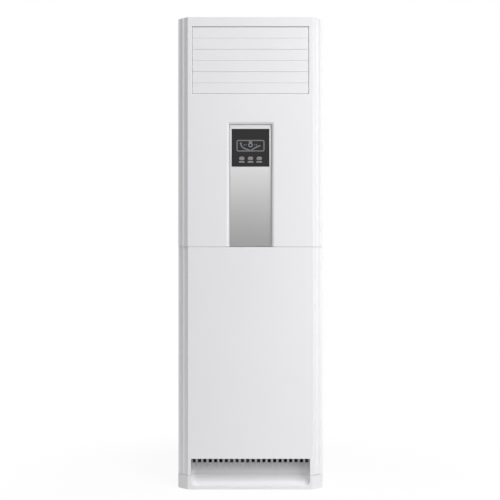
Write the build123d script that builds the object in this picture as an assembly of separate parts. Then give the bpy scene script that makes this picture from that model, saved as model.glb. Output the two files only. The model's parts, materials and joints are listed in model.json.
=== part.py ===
from build123d import *
import math
import os

# Floor standing air conditioner: the tall indoor cabinet, with its louvered outlet at the
# top, its control column in the middle and its hinged intake panel below.
# Millimetres. The origin is on the floor under the middle of the cabinet, +X is to the
# right as seen from the front, +Y goes to the back and +Z up.

os.makedirs("parts", exist_ok=True)

# Cabinet
cabinet_height = 1750.0
cabinet_width = 540.0
cabinet_depth = 340.0
corner_steps = [(13.0, 17.0), (7.0, 2.0), (9.0, 15.0), (8.0, 4.0)]
base_corner_steps = [(29.0, 29.0), (8.0, 13.0)]
panel_wall = 2.5
sheet = 1.0
flange = 18.0
cover_lip = 14.0
cover_lip_gap = 2.0
seam_height = 898.6
base_height = 50.7
seam_gap = 1.2
lower_panel_inset = 1.5
top_relief = 2.0
relief_start = 3.0
lap_drop = 5.0
lap_wall = 1.5
ledge_lift = 1.0
ledge_thickness = 2.0

# Running and seating clearances, and how far a cutter runs past the face it opens
run_fit = 0.08
pivot_play = 0.3
moving_gap = 0.5
side_play = 1.0
slide_play = 0.35
over = 1.0

# Small round things that repeat are drawn with this many flats
pin_sides = 8

# Air outlet
outlet_side_margin = 17.2
outlet_top_margin = 36.4
outlet_height = 248.4
outlet_bevel = 1.8
duct_wall = 3.0
duct_step = 3.8
duct_depth = 110.0
duct_rim = 12.0
louver_count = 6
louver_setback = 1.5
louver_axis_depth = 5.0
louver_crown = 4.0
louver_head_gap = 1.8
louver_sill_gap = 1.5
louver_groove = 1.1
louver_fine_groove = 0.6
louver_lap = 0.6
louver_lip = 2.0
louver_lap_gap = 0.4
louver_skin = 1.4
louver_foot = 1.2
louver_drop = 0.3
louver_pin_r = 3.0
pin_root = 2.0
crank_gap = 0.4
crank_thickness = 2.5
louver_crank = 12.0
louver_crank_width = 6.4
louver_crank_angle = 45.0
link_gap = 0.4
link_thickness = 2.5
link_half_width = 4.0
stud_r = 1.5
stud_end = 1.5
vane_count = 8
vane_side_margin = 37.3
vane_setback = 55.0
vane_chord = 44.0
vane_thickness = 5.6
vane_edge = 1.2
vane_end_gap = 5.0
vane_pin_r = 2.5
vane_crank = 14.0
vane_crank_width = 7.0
swing_motor_r = 12.0
swing_motor_length = 14.0
swing_motor_offset = 12.0
swing_motor_nose_r = 9.0
swing_motor_ear = 1.5
swing_motor_ear_span = 36.0
swing_motor_ear_width = 7.0

# Control column
recess_below_outlet = 100.7
recess_side_gap = 15.0
recess_radius = 11.0
recess_depth = 14.0
mould_margin = 60.0
strip_side = 5.0
strip_top_gap = 12.9
strip_foot_gap = 2.0
strip_thickness = 2.0
window_size = 140.0
window_drop = 14.8
window_proud = 0.6
window_play = 0.2
window_rebate = 8.0
button_pitch = 32.4
button_rise = 30.2
button_width = 20.0
button_tall = 13.5
button_proud = 0.8
button_travel = 1.2
button_flange = 1.0
button_stem_r = 3.0
board_setback = 14.0
board_thickness = 1.6
board_edge_gap = 0.5
display_box_inset = 4.0
display_box_wall = 2.0
display_box_room = 8.0
display_post = 5.0
lcd_half = 56.0
lcd_tall = 56.0
lcd_rise = 45.0

# Intake panel and its scoop
groove_rows = 6
groove_pitch = 106.6
groove_length = 88.0
groove_top_margin = 109.6
groove_width = 8.0
groove_depth = 1.4
groove_on_first_slope = 8.0
groove_on_second_slope = 7.0
scoop_side_margin = 12.4
scoop_top = 113.6
scoop_depth = 45.0
scoop_back_gap = 4.5
scoop_lip = 11.8
scoop_flat = 3.0
scoop_heel_r = 30.0
scoop_corner = 20.0
grille_wall = 2.5
grille_overlap = 28.4
grille_slot_show = 21.6
grille_slot_head = 8.0
rib_count = 21
rib_margin = 19.6
rib_width = 9.0
hook_side_gap = 0.65
hook_width = 7.5
hook_play = 0.6
hook_reach = 16.0
hook_thickness = 3.0
hook_drop = 8.0
hook_swing = 4.0
filter_side_margin = 43.0
filter_rise = 28.0
filter_height = 450.0
filter_bar = 12.0
filter_bays = 3
filter_thickness = 6.0
net_thickness = 1.0
net_lap = 8.0

# Blower
blower_z = 330.0
blower_x = -15.0
impeller_r = 150.0
impeller_rim = 2.0
impeller_disc = 3.0
impeller_ring = 4.0
impeller_end_gap = 10.0
blade_count = 24
blade_depth = 26.0
blade_crown = 6.0
blade_facets = 3
blade_thickness = 1.6
hub_r = 24.0
hub_length = 30.0
shaft_r = 6.0
shaft_overlap = 26.0
shaft_room = 8.0
volute_depth = 150.0
volute_rear_room = 80.0
volute_wall = 2.0
volute_gap = 22.0
volute_growth = 15.0
tongue_offset = 45.0
inlet_overlap = 8.0
bell_roll = 20.0
motor_r = 62.0
motor_length = 64.0
motor_bevel = 8.0
bracket_half = 95.0
bracket_sheet = 2.0
bracket_corner = 18.0
bracket_foot = 40.0

# Heat exchanger and what stands round it
deck_z = 640.0
pan_rise = 75.0
pan_height = 43.0
pan_front = 34.0
pan_rear = 46.0
pan_wall = 2.0
pan_gap = 1.0
spout_r = 9.0
spout_drop = 24.0
spout_inset = 22.0
spout_back = 20.0
coil_side_gap = 54.0
coil_foot_gap = 4.0
coil_top_drop = 75.2
coil_top_back = 60.0
coil_thickness = 44.0
coil_core = 4.0
coil_plate_margin = 4.0
coil_plate_foot = 18.0
fin_count = 32
fin_width = 1.5
tube_r = 4.75
bend_r = 12.7
bend_count = 4
foam_thickness = 22.0
foam_radius = 210.0
foam_gap = 0.2
foam_side_gap = 1.0
foam_coil_gap = 12.0
foam_duct_gap = 4.0

# Pipes and services on the back
port_inset = 70.0
port_z = 150.0
port_r = 35.0
gas_pipe_r = 8.0
gas_column_inset = 26.0
gas_offset = 8.0
liquid_pipe_r = 5.0
liquid_column_inset = 34.0
liquid_offset = 10.0
pipe_pan_gap = 5.0
pipe_gap = 13.0
pipe_bend = 2.0
pipe_end_gap = 17.6
pipe_room = 7.0
nut_wall = 5.5
nut_length = 14.0
gland_x = 120.0
gland_z = 120.0
gland_r = 9.0
gland_gap = 0.2
gland_flange = 3.0
gland_nut = 2.0
gland_inner = 8.0
gland_bore_r = 4.0
gland_proud = 2.0
strap_drop = 100.0
strap_spacing = 300.0
strap_hole_r = 3.0
floor_bolt_spacing_x = 400.0
floor_bolt_spacing_y = 180.0
floor_bolt_r = 5.5
screw_head_r = 4.0
screw_head = 2.4
screw_rows = 5
screw_low_margin = 49.9
screw_high_margin = 129.0
screw_top_half = 120.0

# Electrical box
box_left = -90.0
box_right = 170.0
box_front_gap = 6.0
box_depth = 56.0
box_height = 227.0
box_hem = 12.0
main_board_width = 136.0
main_board_side = 14.0
main_board_rise = 40.0
main_board_tall = 168.0
main_board_stand = 6.0
post_r = 3.0
post_inset = 6.0
chip_size = 36.0
chip_rise = 20.0
chip_height = 12.0
capacitor_r = 19.9
capacitor_height = 70.0
capacitor_inset = 50.0
transformer_width = 60.0
transformer_inset = 20.0
transformer_rise = 110.0
transformer_tall = 50.0
transformer_depth = 40.0
transformer_coil = 6.0
transformer_margin = 10.0
terminal_width = 100.0
terminal_inset = 20.0
terminal_depth = 18.0
terminal_tall = 22.0
terminal_count = 5
terminal_well = 12.0
terminal_well_tall = 10.0
terminal_well_depth = 8.0

# Places that follow from the sizes above
half_width = cabinet_width / 2
front_y = -cabinet_depth / 2
back_y = cabinet_depth / 2
flat_half = half_width - sum(step[0] for step in corner_steps)
panel_depth = scoop_depth + grille_wall + scoop_back_gap
panel_back_y = front_y + panel_depth
back_face_y = back_y - screw_head
upper_bottom = seam_height + seam_gap / 2
lower_top = seam_height - seam_gap / 2
lower_bottom = base_height + seam_gap / 2
base_top = base_height - seam_gap / 2
inner_half = half_width - sheet
roof_z = cabinet_height - sheet

outlet_half = flat_half - outlet_side_margin
outlet_top = cabinet_height - outlet_top_margin
outlet_bottom = outlet_top - outlet_height
duct_low = outlet_bottom - duct_step
duct_high = outlet_top + duct_step
duct_outer_half = outlet_half + duct_wall
duct_front_y = front_y + panel_wall
duct_back_y = front_y + duct_depth
louver_pitch = outlet_height / louver_count
louver_axis_y = front_y + louver_setback + louver_axis_depth
louver_half = outlet_half - side_play
louver_axes = [outlet_top - louver_pitch * (row + 0.5) for row in range(louver_count)]
louver_gaps = [2 * louver_head_gap, *(
    louver_fine_groove if row % 2 else louver_groove for row in range(1, louver_count)
), 2 * louver_sill_gap]
louver_crank_y = louver_crank * math.cos(math.radians(louver_crank_angle))
louver_crank_z = louver_crank * math.sin(math.radians(louver_crank_angle))
vane_axis_y = front_y + vane_setback
vane_pitch = 2 * (outlet_half - vane_side_margin) / (vane_count - 1)
vane_axes = [vane_pitch * (column - (vane_count - 1) / 2) for column in range(vane_count)]
vane_arm_z = duct_low - duct_wall - crank_gap

recess_top = outlet_bottom - recess_below_outlet
recess_floor_y = front_y + recess_depth
strip_half = window_size / 2 + strip_side
strip_top = recess_top - strip_top_gap
recess_half = strip_half + recess_side_gap
window_top = strip_top - window_drop
window_mid_z = window_top - window_size / 2
button_z = window_top - window_size + button_rise
board_near_y = recess_floor_y + board_setback
display_box_half = window_size / 2 - display_box_inset

groove_top = seam_height - groove_top_margin
scoop_half = flat_half - scoop_side_margin
cove_top = scoop_top - grille_slot_show
grille_top = scoop_top + grille_overlap
hook_x = scoop_half + grille_wall + hook_side_gap + hook_width / 2
rib_pitch = 2 * (scoop_half - rib_margin) / (rib_count - 1)
filter_half = flat_half - filter_side_margin
filter_low = grille_top + filter_rise
filter_high = filter_low + filter_height

volute_back_y = back_y - volute_rear_room
volute_front_y = volute_back_y - volute_depth
volute_first_r = impeller_r + volute_gap
impeller_front_y = volute_front_y + impeller_end_gap
impeller_back_y = volute_back_y - impeller_end_gap
inlet_r = impeller_r - blade_depth - inlet_overlap

box_near = panel_back_y + sheet + box_front_gap
box_far = box_near + box_depth
box_low = deck_z + sheet
box_high = box_low + box_height
pan_low = deck_z + pan_rise
pan_high = pan_low + pan_height
pan_near = box_far + pan_gap
pan_far = pan_near + pan_front + pan_rear
coil_half = inner_half - coil_side_gap
coil_low = (pan_near + pan_front, pan_high + coil_foot_gap)
coil_high = (back_y - coil_top_back, outlet_bottom - coil_top_drop)

port_x = half_width - port_inset
liquid_column = (half_width - liquid_column_inset, pan_far + pipe_pan_gap + liquid_pipe_r)
gas_column = (half_width - gas_column_inset, liquid_column[1] + pipe_gap + liquid_pipe_r + gas_pipe_r)
gas_end = (port_x + gas_offset, port_z + gas_offset)
liquid_end = (port_x - liquid_offset, port_z - liquid_offset)
pipe_end_y = back_face_y - pipe_end_gap


def outline(points):
    """Flat face inside a closed run of straight edges."""
    return make_face(Polyline(*points, close=True))


def from_plan(sketch, low, high):
    """Solid with a plan outline, standing from low to high."""
    return extrude(Pos(0, 0, low) * sketch, amount=high - low, dir=(0, 0, 1))


def from_side(sketch, left, right):
    """Solid with a (y, z) section, running from left to right."""
    return extrude(Pos(left, 0, 0) * (Plane.YZ * sketch), amount=right - left, dir=(1, 0, 0))


def from_front(sketch, near, far):
    """Solid with an (x, z) outline, running from near to far."""
    return extrude(Pos(0, near, 0) * (Plane.XZ * sketch), amount=far - near, dir=(0, 1, 0))


def block(x0, x1, y0, y1, z0, z1):
    return Pos((x0 + x1) / 2, (y0 + y1) / 2, (z0 + z1) / 2) * Box(x1 - x0, y1 - y0, z1 - z0)


def slab(y0, y1, z0, z1):
    """Block that runs past both sides of the cabinet, for cutting."""
    return block(-cabinet_width, cabinet_width, y0, y1, z0, z1)


def rod_y(y0, y1, x, z, radius):
    return Pos(x, (y0 + y1) / 2, z) * Rot(90, 0, 0) * Cylinder(radius, y1 - y0)


def rod_z(z0, z1, x, y, radius):
    return Pos(x, y, (z0 + z1) / 2) * Cylinder(radius, z1 - z0)


def pin_outline(radius):
    """Section of a small pin, with its corners on the radius."""
    return RegularPolygon(radius, pin_sides)


def bore_outline(radius):
    """Section of a small bore, with its flats on the radius, so that a pin can turn in it."""
    return RegularPolygon(radius, pin_sides, major_radius=False)


def crank_outline(length, width):
    """Flat arm along +X, from a pin at the origin to a stud at the given length."""
    half = width / 2
    cut = half * math.tan(math.pi / pin_sides)
    return outline([
        (-half, -cut), (-cut, -half), (length + cut, -half), (length + half, -cut),
        (length + half, cut), (length + cut, half), (-cut, half), (-half, cut)
    ])


def mirrored(shape):
    return mirror(shape, about=Plane.YZ)


def front_points(steps, inset, rear_y):
    """Plan of a front moulding: a flat face and a stepped corner at each end."""
    x = half_width - inset - sum(step[0] for step in steps)
    y = front_y
    right = [(x, y)]
    for out, back in steps:
        x += out
        y += back
        right.append((x, y))
    right.append((x, rear_y))
    return [(-px, py) for px, py in reversed(right)] + right


def moulding_walls(steps, inset, rear_y, low, high, skin=0.0, wall=panel_wall):
    """Upright walls of a front moulding, open at the back; skin sets them further in."""
    face = outline(front_points(steps, inset, rear_y))
    outer = offset(face, amount=-skin, kind=Kind.INTERSECTION) if skin else face
    inner = offset(face, amount=-(skin + wall), kind=Kind.INTERSECTION)
    walls = from_plan(outer, low, high) - from_plan(inner, low - over, high + over)
    open_half = half_width - inset - skin - wall
    rear = rear_y - skin - wall - over
    return walls - block(-open_half, open_half, rear, rear_y + over, low - over, high + over)


# ---- front panels ----

def recess_form(grow):
    """Space of the control recess with its rounded mouth, made larger all round by grow."""
    half = recess_half - recess_radius + grow
    top = recess_top - recess_radius + grow
    floor_y = recess_floor_y + grow
    low = upper_bottom - mould_margin
    plate_half = half + mould_margin
    plate = block(-plate_half, plate_half, front_y + grow, floor_y, low, top + mould_margin)
    body = plate - block(-half, half, front_y - over, floor_y + over, low - over, top)
    mouth = body.edges().filter_by(
        lambda edge: abs(edge.center().Y - front_y - grow) < 0.01
        and abs(edge.center().X) < half + 0.01
        and low + 0.01 < edge.center().Z < top + 0.01
    )
    return plate - fillet(mouth, radius=recess_radius - grow)


def upper_front_panel():
    walls = moulding_walls(corner_steps, 0.0, panel_back_y, upper_bottom, cabinet_height)
    plan = outline(front_points(corner_steps, 0.0, panel_back_y))
    roof = from_plan(plan, cabinet_height - panel_wall, cabinet_height)
    ledge_low = upper_bottom + ledge_lift
    ledge_high = ledge_low + ledge_thickness
    lap_skin = panel_wall + moving_gap
    lap = moulding_walls(
        corner_steps, lower_panel_inset, panel_back_y, upper_bottom - lap_drop, ledge_high, lap_skin, lap_wall
    )
    ledge_depth = lap_skin + lap_wall + lower_panel_inset
    ledge = moulding_walls(corner_steps, 0.0, panel_back_y, ledge_low, ledge_high, 0.0, ledge_depth)
    panel = walls + roof + recess_form(panel_wall) + lap + ledge
    panel -= recess_form(0.0)
    foot_half = recess_half + panel_wall + moving_gap
    panel -= block(-foot_half, foot_half, front_y - over, back_y, 0, upper_bottom)
    panel -= block(
        -outlet_half, outlet_half, front_y - over, duct_front_y + over, outlet_bottom, outlet_top
    )
    rim = panel.faces().filter_by(Axis.Y).sort_by(Axis.Y)[0].edges().filter_by(
        lambda edge: outlet_bottom - over < edge.center().Z < outlet_top + over
        and abs(edge.center().X) < outlet_half + over
    )
    panel = chamfer(rim, length=outlet_bevel)
    hole = window_size / 2 - window_rebate
    return panel - block(
        -hole, hole, recess_floor_y - over, recess_floor_y + panel_wall + over,
        window_mid_z - hole, window_mid_z + hole
    )


def groove_cutters():
    """Shallow upright grooves in the two slopes of the right-hand corner."""
    first, ledge, second = corner_steps[:3]
    first_x = flat_half - lower_panel_inset
    second_x = first_x + first[0] + ledge[0]
    second_y = front_y + first[1] + ledge[1]
    cutters = []
    for x, y, slope, along in (
        (first_x, front_y, first, groove_on_first_slope), (second_x, second_y, second, groove_on_second_slope)
    ):
        share = along / math.hypot(*slope)
        turn = math.degrees(math.atan2(slope[1], slope[0]))
        for row in range(groove_rows):
            z = groove_top - groove_pitch * row - groove_length / 2
            place = Pos(x + slope[0] * share, y + slope[1] * share, z) * Rot(0, 0, turn)
            cutters.append(place * Box(groove_width, 2 * groove_depth, groove_length))
    return cutters


def scoop_form(grow, top):
    """Space of the scoop, from its lip up to top, made larger all round by grow."""
    run = scoop_depth - scoop_flat
    rise = cove_top - scoop_lip - scoop_heel_r
    wall_r = (run ** 2 + rise ** 2 - scoop_heel_r ** 2) / (2 * (run - scoop_heel_r))
    heel = Vector(front_y + scoop_flat, scoop_lip + scoop_heel_r)
    brow = Vector(front_y + scoop_depth - wall_r, cove_top)
    meeting = math.degrees(math.atan2(brow.Y - heel.Y, heel.X - brow.X))

    def on(centre, radius, angle):
        return centre + Vector(radius + grow, 0).rotate(Axis.Z, -angle)

    rear = front_y + scoop_depth + grow
    low = scoop_lip - grow
    mouth = front_y - scoop_flat
    edge = Curve() + [
        Line((mouth, low), on(heel, scoop_heel_r, 90)),
        ThreePointArc(
            on(heel, scoop_heel_r, 90), on(heel, scoop_heel_r, (90 + meeting) / 2),
            on(heel, scoop_heel_r, meeting)
        ),
        ThreePointArc(on(brow, wall_r, meeting), on(brow, wall_r, meeting / 2), on(brow, wall_r, 0)),
        Line((rear, cove_top), (rear, top)),
        Line((rear, top), (mouth, top)),
        Line((mouth, top), (mouth, low)),
    ]
    half = scoop_half + grow
    body = from_side(make_face(edge), -half, half)
    ends = body.edges().filter_by(
        lambda edge: abs(abs(edge.center().X) - half) < 0.01
        and edge.center().Y > mouth + 0.5
        and edge.center().Z < top - 0.5
    )
    return fillet(ends, radius=scoop_corner + grow)


def lower_front_panel():
    panel = moulding_walls(
        corner_steps, lower_panel_inset, panel_back_y - moving_gap, lower_bottom, lower_top
    )
    shelf_half = recess_half - recess_radius - side_play
    near = front_y + panel_wall - moving_gap
    panel += block(
        -shelf_half, shelf_half, near, recess_floor_y - strip_foot_gap, lower_top - panel_wall, lower_top
    )
    hook_back = front_y + hook_reach
    for x in (-hook_x, hook_x):
        left = x - hook_width / 2
        right = x + hook_width / 2
        panel += block(left, right, near, hook_back, lower_bottom, lower_bottom + panel_wall)
        panel += block(
            left, right, hook_back - hook_thickness, hook_back,
            lower_bottom - hook_drop, lower_bottom + panel_wall
        )
    slope_y = front_y + sum(step[1] for step in corner_steps) - relief_start
    wedge = outline([
        (slope_y, lower_top), (panel_back_y + over, lower_top - top_relief),
        (panel_back_y + over, lower_top + over), (slope_y, lower_top + over)
    ])
    panel -= from_side(wedge, -cabinet_width, cabinet_width)
    panel -= block(
        -scoop_half, scoop_half, front_y - over, front_y + panel_wall + over, lower_bottom - over, scoop_top
    )
    for cutter in groove_cutters():
        panel -= cutter
        panel -= mirrored(cutter)
    return panel


def intake_grille():
    """Upper part of the scoop's cove, with the row of intake slots along its head."""
    shell = scoop_form(grille_wall, grille_top) - scoop_form(0.0, grille_top - grille_wall)
    rear = front_y + scoop_depth + grille_wall + over
    shell -= slab(front_y - cabinet_depth, front_y + panel_wall, 0, cabinet_height)
    shell -= slab(front_y - cabinet_depth, rear, 0, lower_bottom)
    cutter_near = front_y + scoop_depth - over
    for gap in range(rib_count + 1):
        middle = rib_pitch * (gap - rib_count / 2)
        half = (rib_pitch - rib_width) / 2
        left = max(middle - half, -scoop_half + scoop_corner / 2)
        right = min(middle + half, scoop_half - scoop_corner / 2)
        shell -= block(left, right, cutter_near, rear, cove_top, grille_top - grille_slot_head)
    return shell


def filter_frame():
    """Rectangular frame with cross bars, clipped to the back of the intake panel."""
    near = front_y + panel_wall
    far = near + filter_thickness
    frame = block(-filter_half, filter_half, near, far, filter_low, filter_high)
    inner = filter_half - filter_bar
    bay = (filter_height - filter_bar) / filter_bays
    for row in range(filter_bays):
        low = filter_low + filter_bar + bay * row
        frame -= block(-inner, inner, near - over, far + over, low, low + bay - filter_bar)
    return frame


def filter_mesh():
    near = front_y + panel_wall + filter_thickness
    edge = filter_bar - net_lap
    half = filter_half - edge
    return block(-half, half, near, near + net_thickness, filter_low + edge, filter_high - edge)


# ---- base ----

def base_plinth():
    """Moulded skirt round the front of the base, with the lower part of the cove."""
    walls = moulding_walls(base_corner_steps, 0.0, panel_back_y, 0.0, base_top)
    plan = outline(front_points(base_corner_steps, 0.0, panel_back_y))
    deck = from_plan(plan, base_top - panel_wall, base_top)
    cove = scoop_form(grille_wall, grille_top)
    cove -= slab(front_y - cabinet_depth, front_y, 0, cabinet_height)
    cove -= slab(front_y - cabinet_depth, panel_back_y, base_top, cabinet_height)
    plinth = walls + deck + cove - scoop_form(0.0, grille_top)
    slot_near = front_y + hook_reach - hook_thickness - hook_swing
    slot_far = front_y + hook_reach + hook_swing
    half = hook_width / 2 + hook_play
    for x in (-hook_x, hook_x):
        plinth -= block(
            x - half, x + half, slot_near, slot_far, base_top - hook_drop - hook_swing, base_top + over
        )
    return plinth


def base_pan():
    """Pressed steel tray: floor, upright walls and an inward rim that carries the cabinet."""
    near = panel_back_y
    tray = block(-half_width, half_width, near, back_face_y, 0, base_top)
    tray -= block(-inner_half, inner_half, near + sheet, back_face_y - sheet, sheet, base_top + over)
    rim = block(-half_width, half_width, near, back_face_y, base_top - sheet, base_top)
    rim -= block(
        -half_width + flange, half_width - flange, near + flange, back_face_y - flange,
        base_top - sheet - over, base_top + over
    )
    tray += rim
    middle_y = (near + back_face_y) / 2
    for x in (-floor_bolt_spacing_x / 2, floor_bolt_spacing_x / 2):
        for y in (middle_y - floor_bolt_spacing_y / 2, middle_y + floor_bolt_spacing_y / 2):
            tray -= rod_z(-over, sheet + over, x, y, floor_bolt_r)
    return tray


# ---- sheet metal cabinet ----

def side_panel():
    """Right-hand side: one sheet with flanges folded inwards at the front, back and foot."""
    panel = block(inner_half, half_width, panel_back_y, back_face_y, base_top, roof_z)
    inside = half_width - flange
    panel += block(inside, half_width, panel_back_y, panel_back_y + sheet, base_top, roof_z)
    rear = back_face_y - sheet
    panel += block(inside, half_width, rear - sheet, rear, base_top, roof_z)
    return panel + block(inside, half_width, panel_back_y, rear, base_top, base_top + sheet)


def back_panel():
    near = back_face_y - sheet
    panel = block(-inner_half, inner_half, near, back_face_y, base_top, roof_z)
    panel -= rod_y(near - over, back_face_y + over, port_x, port_z, port_r)
    panel -= rod_y(near - over, back_face_y + over, gland_x, gland_z, gland_r)
    for x in (-strap_spacing / 2, strap_spacing / 2):
        panel -= rod_y(near - over, back_face_y + over, x, cabinet_height - strap_drop, strap_hole_r)
    return panel


def top_cover():
    cover = block(-half_width, half_width, panel_back_y, back_face_y, roof_z, cabinet_height)
    inside = half_width - flange - cover_lip_gap
    low = roof_z - cover_lip
    cover += block(-inside, inside, panel_back_y, panel_back_y + sheet, low, roof_z)
    rear = back_face_y - sheet
    return cover + block(-inside, inside, rear - sheet, rear, low, roof_z)


def screw_places():
    """Screw positions on the back sheet: up both edges and along the top."""
    edge = inner_half - flange / 2
    low = base_top + screw_low_margin
    step = (roof_z - screw_high_margin - low) / (screw_rows - 1)
    places = [(side * edge, low + step * row) for row in range(screw_rows) for side in (-1, 1)]
    high = roof_z - cover_lip / 2
    return places + [(-screw_top_half, high), (screw_top_half, high)]


def cabinet_screws():
    head = pin_outline(screw_head_r)
    screws = [from_front(Pos(*place) * head, back_face_y, back_y) for place in screw_places()]
    return Compound(children=screws)


# ---- control column ----

def control_strip():
    near = recess_floor_y - strip_thickness
    strip = block(-strip_half, strip_half, near, recess_floor_y, upper_bottom + strip_foot_gap, strip_top)
    half = window_size / 2 + window_play
    return strip - block(
        -half, half, near - over, recess_floor_y + over, window_mid_z - half, window_mid_z + half
    )


def button_outline(grow):
    return SlotOverall(button_width + 2 * grow, button_tall + 2 * grow)


def display_window():
    near = recess_floor_y - strip_thickness - window_proud
    half = window_size / 2
    window = block(-half, half, near, recess_floor_y, window_mid_z - half, window_mid_z + half)
    for place in (-1, 0, 1):
        hole = Pos(place * button_pitch, button_z) * button_outline(slide_play)
        window -= from_front(hole, near - over, recess_floor_y + over)
    return window


def control_button(place):
    """Push button: oval cap, a flange that stops it behind the window, and a stem."""
    x = place * button_pitch
    near = recess_floor_y - strip_thickness - window_proud - button_proud
    flange_near = recess_floor_y + moving_gap
    flange_far = flange_near + button_flange
    half = button_width / 2 + button_flange
    tall = button_tall / 2 + button_flange
    button = from_front(Pos(x, button_z) * button_outline(0.0), near, flange_near)
    button += block(x - half, x + half, flange_near, flange_far, button_z - tall, button_z + tall)
    stem_far = board_near_y - button_travel - moving_gap
    return button + from_front(Pos(x, button_z) * pin_outline(button_stem_r), flange_far, stem_far)


def display_box():
    """Moulded tray behind the window that holds the display board."""
    near = recess_floor_y + panel_wall
    board_far = board_near_y + board_thickness
    far = board_far + display_box_room
    half = display_box_half
    inner = half - display_box_wall
    box = block(-half, half, near, far, window_mid_z - half, window_mid_z + half)
    floor_y = far - display_box_wall
    box -= block(-inner, inner, near - over, floor_y, window_mid_z - inner, window_mid_z + inner)
    for x in (-inner, inner - display_post):
        for z in (window_mid_z - inner, window_mid_z + inner - display_post):
            box += block(x, x + display_post, board_far, floor_y, z, z + display_post)
    return box


def display_board():
    half = display_box_half - display_box_wall - board_edge_gap
    board = block(
        -half, half, board_near_y, board_near_y + board_thickness, window_mid_z - half, window_mid_z + half
    )
    low = window_top - window_size + lcd_rise
    return board + block(-lcd_half, lcd_half, recess_floor_y + moving_gap, board_near_y, low, low + lcd_tall)


# ---- air outlet ----

def outlet_frame():
    """Open duct behind the front opening, with the bores that carry louvers and vanes."""
    low = duct_low - duct_wall
    high = duct_high + duct_wall
    frame = block(-duct_outer_half, duct_outer_half, duct_front_y, duct_back_y, low, high)
    rim_half = duct_outer_half + duct_rim
    frame += block(
        -rim_half, rim_half, duct_back_y - duct_wall, duct_back_y, low - duct_rim, high + duct_rim
    )
    frame -= block(
        -outlet_half, outlet_half, duct_front_y - over, duct_back_y + over, duct_low, duct_high
    )
    louver_bore = bore_outline(louver_pin_r + run_fit)
    for z in louver_axes:
        frame -= from_side(Pos(louver_axis_y, z) * louver_bore, -rim_half, rim_half)
    vane_bore = bore_outline(vane_pin_r + run_fit)
    for x in vane_axes:
        frame -= from_plan(Pos(x, vane_axis_y) * vane_bore, low - over, high + over)
    return frame


def louver_section(row):
    """Flat front, a tongue along the top behind the next louver, and a crowned back."""
    gap_above, gap_below = louver_gaps[row:row + 2]
    face = -louver_axis_depth
    lip = face + louver_lip
    top = (louver_pitch - gap_above) / 2
    tongue_y = lip + louver_lap_gap
    back_y_near = tongue_y + louver_skin
    bottom = (gap_below - louver_pitch) / 2 - louver_drop
    foot = bottom + louver_foot
    tongue_top = top + gap_above + louver_lap - louver_drop
    edge = Curve() + [
        Polyline(
            (back_y_near, foot), (lip, foot), (lip, bottom), (face, bottom), (face, top - louver_drop),
            (tongue_y, top), (tongue_y, tongue_top), (back_y_near, tongue_top)
        ),
        ThreePointArc((back_y_near, tongue_top), (louver_crown, 0), (back_y_near, foot)),
    ]
    return make_face(edge)


def louver(row):
    """Flap with a pin at each end, and a crank with its stud outside the duct."""
    axis = Pos(louver_axis_y, louver_axes[row])
    blade = from_side(axis * louver_section(row), -louver_half, louver_half)
    pin = axis * pin_outline(louver_pin_r)
    arm_near = duct_outer_half + crank_gap
    arm_far = arm_near + crank_thickness
    blade += from_side(pin, -arm_near, -louver_half + pin_root)
    blade += from_side(pin, louver_half - pin_root, arm_near)
    arm = axis * Rot(0, 0, louver_crank_angle) * crank_outline(louver_crank, louver_crank_width)
    blade += from_side(arm, arm_near, arm_far)
    stud = axis * Pos(louver_crank_y, louver_crank_z) * pin_outline(stud_r)
    return blade + from_side(stud, arm_far - over, arm_far + link_gap + link_thickness + stud_end)


def louver_link():
    """Straight bar that joins the crank studs of all louvers."""
    near = duct_outer_half + crank_gap + crank_thickness + link_gap
    far = near + link_thickness
    stud_y = louver_axis_y + louver_crank_y
    low = louver_axes[-1] + louver_crank_z - link_half_width
    high = louver_axes[0] + louver_crank_z + link_half_width
    bar = block(near, far, stud_y - link_half_width, stud_y + link_half_width, low, high)
    for row, z in enumerate(louver_axes):
        play = run_fit if row == 0 else pivot_play
        hole = Pos(stud_y, z + louver_crank_z) * bore_outline(stud_r + play)
        bar -= from_side(hole, near - over, far + over)
    return bar


def vane_section():
    """Thin symmetrical blade with blunt edges."""
    half = vane_chord / 2
    bulge = vane_thickness / 2
    edge = vane_edge / 2
    sides = Curve() + [
        ThreePointArc((-edge, -half), (-bulge, 0), (-edge, half)),
        Line((-edge, half), (edge, half)),
        ThreePointArc((edge, half), (bulge, 0), (edge, -half)),
        Line((edge, -half), (-edge, -half)),
    ]
    return make_face(sides)


def vane(column):
    """Upright guide blade with a pin at each end and a crank below the duct."""
    axis = Pos(vane_axes[column], vane_axis_y)
    low = duct_low + vane_end_gap
    high = duct_high - vane_end_gap
    blade = from_plan(axis * vane_section(), low, high)
    pin = axis * pin_outline(vane_pin_r)
    blade += from_plan(pin, high - pin_root, duct_high + duct_wall)
    blade += from_plan(pin, vane_arm_z, low + pin_root)
    arm = axis * Rot(0, 0, 90) * crank_outline(vane_crank, vane_crank_width)
    arm_low = vane_arm_z - crank_thickness
    blade += from_plan(arm, arm_low, vane_arm_z)
    stud = axis * Pos(0, vane_crank) * pin_outline(stud_r)
    return blade + from_plan(stud, arm_low - link_gap - link_thickness - stud_end, arm_low + over)


def vane_link():
    """Straight bar that joins the crank studs of all vanes."""
    high = vane_arm_z - crank_thickness - link_gap
    low = high - link_thickness
    y = vane_axis_y + vane_crank
    left = vane_axes[0] - link_half_width
    bar = block(left, -left, y - link_half_width, y + link_half_width, low, high)
    for column, x in enumerate(vane_axes):
        play = run_fit if column == 0 else pivot_play
        bar -= from_plan(Pos(x, y) * bore_outline(stud_r + play), low - over, high + over)
    return bar


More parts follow.
